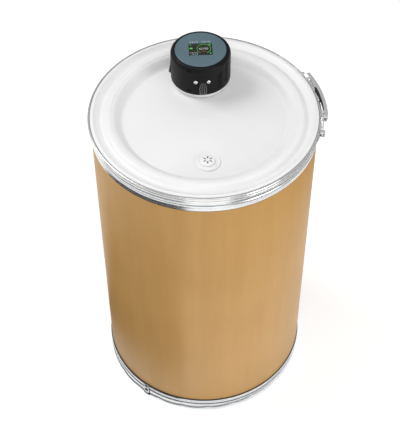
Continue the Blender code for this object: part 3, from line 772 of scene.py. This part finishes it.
def unit_shell(materials):
    """Round housing: soft shoulder, vent slots, clip windows, side slits and screw holes."""
    outside = [(54.4, 71.0)]
    for step in range(1, 11):
        turn = math.radians(90.0 - 9.0 * step)
        outside.append((54.0 + 9.0 * math.cos(turn), 62.0 + 9.0 * math.sin(turn)))
    outside += [(63.0, 1.0), (62.4, 0.3)]
    inside = [(60.6, 0.3), (60.6, 60.0), (57.5, 65.0), (52.0, 66.8), (52.0, 68.0), (54.4, 68.0)]
    shell = lathe("unit_shell", outside + inside, UNIT, 120)
    slots = bmesh.new()
    for angle, count in VENT_COLUMNS:
        for row in range(count):
            height = SLOT_FIRST + SLOT_PITCH * row
            box_into(slots, SLOT_CUTTER, polar(62.0, angle, height), angle)
    combine(shell, finish_mesh("slots", slots, UNIT))
    for height in (61.5, 9.5):
        slit = [(66.0, height + 1.2), (66.0, height - 1.2), (57.0, height - 1.2), (57.0, height + 1.2)]
        combine(shell, sweep("slit", slit, -121.0, -110.0, 6, UNIT))
    for angle in CLIP_ANGLES.values():
        high, low, half = CLIP_TOP + 0.5, CLIP_FOOT - 0.5, CLIP_HALF_ANGLE + 0.5
        window = [(66.0, high), (66.0, low), (58.0, low), (58.0, high)]
        combine(shell, sweep("window", window, angle - half, angle + half, 6, UNIT))
    for angle in SCREW_ANGLES.values():
        combine(shell, post("hole", 2.3, -5.0, 4.0, (0.0, 0.0), UNIT @ radial(62.0, angle, SCREW_Z)))
    show(shell, materials["housing"], "control_unit", "housing", "housing")


def press_clip(node, angle, materials):
    """Ribbed clip: thin at its upper edge, proud at its foot, with two small toes."""
    bm = bmesh.new()
    rings = []
    steps = 8
    for step in range(steps + 1):
        share = step / steps
        side = 1.0 - abs(2.0 * share - 1.0) ** 4
        foot = 64.4 + 3.0 * side
        section = [(63.1, CLIP_TOP), (foot - 0.6, 12.0), (foot, 6.8)]
        section += [(foot - 1.0, CLIP_FOOT), (61.2, CLIP_FOOT), (61.2, CLIP_TOP)]
        turn = -CLIP_HALF_ANGLE + 2.0 * CLIP_HALF_ANGLE * share
        rings.append([bm.verts.new(polar(radius, turn, height)) for radius, height in section])
    close_rings(bm, rings)
    place = UNIT @ Matrix.Rotation(math.radians(angle), 4, "Z")
    body = finish_mesh(node + "_body", bm, place)
    show(body, materials["clip"], CLIP_BODIES[node], "housing", node)
    ribs = bmesh.new()
    for turn in (-6.3, -2.1, 2.1, 6.3):
        middle_point, lower = polar(64.9, turn, 20.0), polar(67.3, turn * 0.75, 5.8)
        for upper, end, wide, thin in (
            (polar(63.5, turn * 0.45, 34.0), middle_point, 0.7, 0.35),
            (middle_point, lower, 0.8, 0.7),
        ):
            along = end - upper
            bmesh.ops.create_cone(
                ribs,
                cap_ends=True,
                segments=12,
                radius1=thin,
                radius2=wide,
                depth=along.length,
                matrix=aimed((upper + end) / 2, along),
            )
    # The ribs are lighter grey than the clip: painted highlight.
    ribs_piece = finish_mesh(node + "_ribs", ribs, place)
    show(ribs_piece, materials["rib_highlight"], CLIP_BODIES[node], "housing")


def pan_screw(node, angle, materials):
    """Pan-head screw with a cross recess."""
    place = UNIT @ radial(63.4, angle, SCREW_Z) @ Matrix.Rotation(0.5, 4, "Z")
    profile = [(0.0, 2.4), (1.5, 2.36), (2.8, 2.05), (3.8, 1.45), (4.25, 0.7), (4.25, 0.0), (2.0, 0.0)]
    profile += [(2.0, -8.0), (0.0, -8.0)]
    screw = lathe(node + "_head", profile, place, 40)
    for turn in (0.0, 90.0):
        combine(screw, slab("recess", (4.6, 1.1, 2.4), (0.0, 0.0, 2.4), place, turn))
    show(screw, materials["zinc"], "control_unit", "zinc", node)


def unit_face(materials):
    """Slate faceplate with a softened edge, its window and the screen glass."""
    profile = [(0.0, 70.9), (52.6, 70.9), (53.4, 70.7), (54.0, 70.1), (54.0, 68.4), (0.0, 68.4)]
    face = lathe("slate_plate", profile, UNIT, 120)
    combine(face, slab("window", (*SCREEN, 8.0), (0.0, 0.0, 71.0), UNIT))
    show(face, materials["faceplate"], "control_unit", "faceplate", "faceplate")
    glass = slab("screen_glass", (SCREEN[0] - 0.7, SCREEN[1] - 0.7, 1.6), (0.0, 0.0, 69.8), UNIT, 0.0, 0.25)
    show(glass, materials["glass"], "control_unit", "display", "display_glass")


SEGMENTS = {
    "0": "abcdef",
    "1": "bc",
    "2": "abdeg",
    "3": "abcdg",
    "5": "acdfg",
    "6": "acdefg",
    "8": "abcdefg",
}


def digit_into(bm, figure, left, low, height):
    """Add a seven-segment figure to a bmesh of flat lit marks."""
    width, thick, deep = height * 0.5, height * 0.14, 0.12
    level = SCREEN_TOP + 0.08
    bars = {
        "a": (0.5, 1.0, True),
        "g": (0.5, 0.5, True),
        "d": (0.5, 0.0, True),
        "b": (1.0, 0.75, False),
        "c": (1.0, 0.25, False),
        "f": (0.0, 0.75, False),
        "e": (0.0, 0.25, False),
    }
    for name in SEGMENTS[figure]:
        across, up, flat = bars[name]
        size = (width - thick, thick, deep) if flat else (thick, height / 2 - thick, deep)
        box_into(bm, size, (left + width * across, low + height * up, level))


def screen_marks(materials):
    """Generic readout: a round gauge round two figures, two rows of small figures, and lit dots."""
    level = SCREEN_TOP + 0.08
    gauge = (6.9, 1.6)
    green = bmesh.new()
    count = 44
    for index in range(count):
        angle = -60.0 + 300.0 * index / count
        spot = Vector((*gauge, level)) + polar(14.2, angle)
        box_into(green, (0.8, 2.0, 0.12), spot, angle)
    for spot, size in (
        ((-19.6, 3.6), (6.4, 3.6)),
        ((-19.6, 5.6), (3.2, 1.6)),
        ((-20.6, 15.2), (3.0, 1.8)),
        ((19.6, 14.8), (3.8, 3.4)),
        ((20.6, -12.8), (3.0, 3.0)),
    ):
        verts = box_into(green, (*size, 0.12), (*spot, level))
        edges = list({edge for vert in verts for edge in vert.link_edges})
        upright = [edge for edge in edges if abs((edge.verts[0].co - edge.verts[1].co).z) > 0.05]
        bmesh.ops.bevel(green, geom=upright, offset=min(size) * 0.42, segments=4, profile=0.5, affect="EDGES")
    show(finish_mesh("screen_green", green, UNIT), materials["lit_green"], "control_unit", "display")
    white = bmesh.new()
    for figure, left in (("6", -2.6), ("2", 1.4), ("5", 8.8), ("8", 12.8)):
        digit_into(white, figure, left, -0.6, 5.0)
    box_into(white, (0.8, 5.0, 0.12), (7.0, 1.8, level), -20.0)
    for row, figures in enumerate(("2056", "1508")):
        for column, figure in enumerate(figures):
            digit_into(white, figure, -21.5 + 4.4 * column, -11.4 - 5.0 * row, 3.2)
    show(finish_mesh("screen_white", white, UNIT), materials["lit_white"], "control_unit", "display")
    amber = bmesh.new()
    for column in range(3):
        box_into(amber, (2.6, 1.1, 0.12), (3.4 + 3.4 * column, -6.4, level))
    show(finish_mesh("screen_amber", amber, UNIT), materials["lit_amber"], "control_unit", "display")


def printed_marks(materials):
    """A plain row of ticks over the screen, lying just on the faceplate."""
    marks = bmesh.new()
    heights = (2.2, 3.4, 2.2, 3.4, 0.0, 2.2, 3.4, 2.2, 3.4)
    for index, height in enumerate(heights):
        if height:
            box_into(marks, (2.6, height, 0.10), (-21.0 + 5.0 * index, 23.4, 70.94))
    show(finish_mesh("plate_marks", marks, UNIT), materials["legend"], "control_unit", "faceplate")


# ------------------------------------------------------------ carried-over nodes


def dress_nodes(materials):
    """Materials for the plain inner pieces that keep their CAD shape."""
    finishes = {
        "board": ["bottom_head"],
        "seal": ["lid_gasket", "mount_gasket", "vent_o_ring"],
        "filter": ["vent_filter"],
        "housing": ["housing_base", "sensor_probe", "fan_frame", "fan_rotor"],
        "circuit": ["display_module", "main_board"],
        "battery": ["battery"],
        "zinc": ["base_screw_1", "base_screw_2", "base_screw_3"],
    }
    for finish, nodes in finishes.items():
        for node in nodes:
            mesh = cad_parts[node].data
            mesh.materials.clear()
            mesh.materials.append(materials[finish])


# ---------------------------------------------------------------------- studio


def pale_floor():
    """Wide floor, lit a little from itself so that it runs into the white behind it."""
    floor = bpy.data.meshes.new("floor")
    bm = bmesh.new()
    bmesh.ops.create_grid(bm, x_segments=1, y_segments=1, size=6.0)
    bm.to_mesh(floor)
    bm.free()
    floor_obj = bpy.data.objects.new("floor", floor)
    bpy.context.scene.collection.objects.link(floor_obj)
    shader = Shader("pale_floor", (0.90, 0.90, 0.90), 0.7)
    shader.colour(shader.ramp(shader.noise(1.5, 2.0), (0.885, 0.885, 0.885), (0.905, 0.905, 0.905)))
    floor.materials.append(shader.material)
    shader.set("Emission Color", (1.0, 1.0, 1.0, 1.0))
    shader.set("Emission Strength", 0.36)


def pale_sky():
    """Grey world that is pale near the ground and overhead, with a dark band between for the steel."""
    world = bpy.data.worlds.new("studio")
    bpy.context.scene.world = world
    world.use_nodes = True
    tree = world.node_tree
    background = tree.nodes["Background"]
    background.inputs["Strength"].default_value = 0.56
    ramp = tree.nodes.new("ShaderNodeValToRGB")
    split = tree.nodes.new("ShaderNodeSeparateXYZ")
    coords = tree.nodes.new("ShaderNodeTexCoord")
    tree.links.new(coords.outputs["Generated"], split.inputs["Vector"])
    tree.links.new(split.outputs["Z"], ramp.inputs["Fac"])
    tree.links.new(ramp.outputs["Color"], background.inputs["Color"])
    stops = ((0.0, 0.9), (0.10, 0.85), (0.16, 0.12), (0.26, 0.10), (0.34, 0.85), (0.8, 1.0))
    elements = ramp.color_ramp.elements
    while len(elements) < len(stops):
        elements.new(0.5)
    for element, (position, level) in zip(elements, stops):
        element.position = position
        element.color = (level, level, level, 1.0)


def soft_lamps():
    """Square lamps on the left, on the right and over the front, all turned to the drum's middle."""
    lamps = (
        ("key", (-1.7, 0.4, 2.5), 1.5, 29.0),
        ("fill", (2.2, -1.9, 1.3), 1.4, 35.0),
        ("front", (0.1, -1.1, 2.5), 1.2, 9.0),
    )
    for name, spot, size, power in lamps:
        lamp = bpy.data.lights.new(name, "AREA")
        lamp.size = size
        lamp.energy = power
        obj = bpy.data.objects.new(name, lamp)
        obj.location = spot
        aim = Vector((0.0, 0.0, 0.5)) - Vector(spot)
        obj.rotation_euler = aim.to_track_quat("-Z", "Y").to_euler()
        bpy.context.scene.collection.objects.link(obj)


def dark_cards():
    """Black cards flat on the floor, seen only in reflections, which give the steel its dark lines."""
    shader = Shader("black_card", (0.01, 0.01, 0.01), 0.9)
    shader.spread(shader.noise(3.0), 0.85, 0.95)
    top, under = 3.0, 2.0
    cards = (
        ("card_left", 285.0, 920.0, -198.0, -108.0),
        ("card_right", 888.0, 1900.0, -68.0, 60.0),
        ("card_foot", 263.0, 267.0, -180.0, 0.0),
        ("card_edge", 245.0, 249.0, -180.0, 0.0),
    )
    for name, near, far, first, last in cards:
        section = [(near, top), (far, top), (far, under), (near, under)]
        card = sweep(name, section, first, last, 12, Matrix())
        card.data.materials.append(shader.material)
        card.visible_camera = False
        card.visible_diffuse = False
        card.visible_shadow = False
        card.visible_transmission = False


def camera():
    """Standing eye, about 49 degrees above the drum, in front of it."""
    data = bpy.data.cameras.new("camera")
    data.lens = 94.587
    data.sensor_width = 36.0
    data.shift_x = -0.01015
    obj = bpy.data.objects.new("camera", data)
    obj.location = (AXIS.x, -1.6747, 2.3986)
    obj.rotation_euler = (math.radians(40.743), 0.0, 0.0)
    bpy.context.scene.collection.objects.link(obj)
    bpy.context.scene.camera = obj


def build():
    camera()
    pale_floor()
    bpy.context.scene.view_settings.view_transform = "Standard"
    pale_sky()
    soft_lamps()
    dark_cards()
    materials = make_materials()
    for make_part in (
        kraft_wall,
        bottom_rim,
        bottom_joint,
        top_rim,
        closing_band,
        ring_fittings,
        lever,
        link,
        lid,
        unit_mount,
        breather_vent,
        unit_shell,
        unit_face,
        screen_marks,
        printed_marks,
        dress_nodes,
    ):
        make_part(materials)
    for node, angle in CLIP_ANGLES.items():
        press_clip(node, angle, materials)
    for node, angle in SCREW_ANGLES.items():
        pan_screw(node, angle, materials)


build()
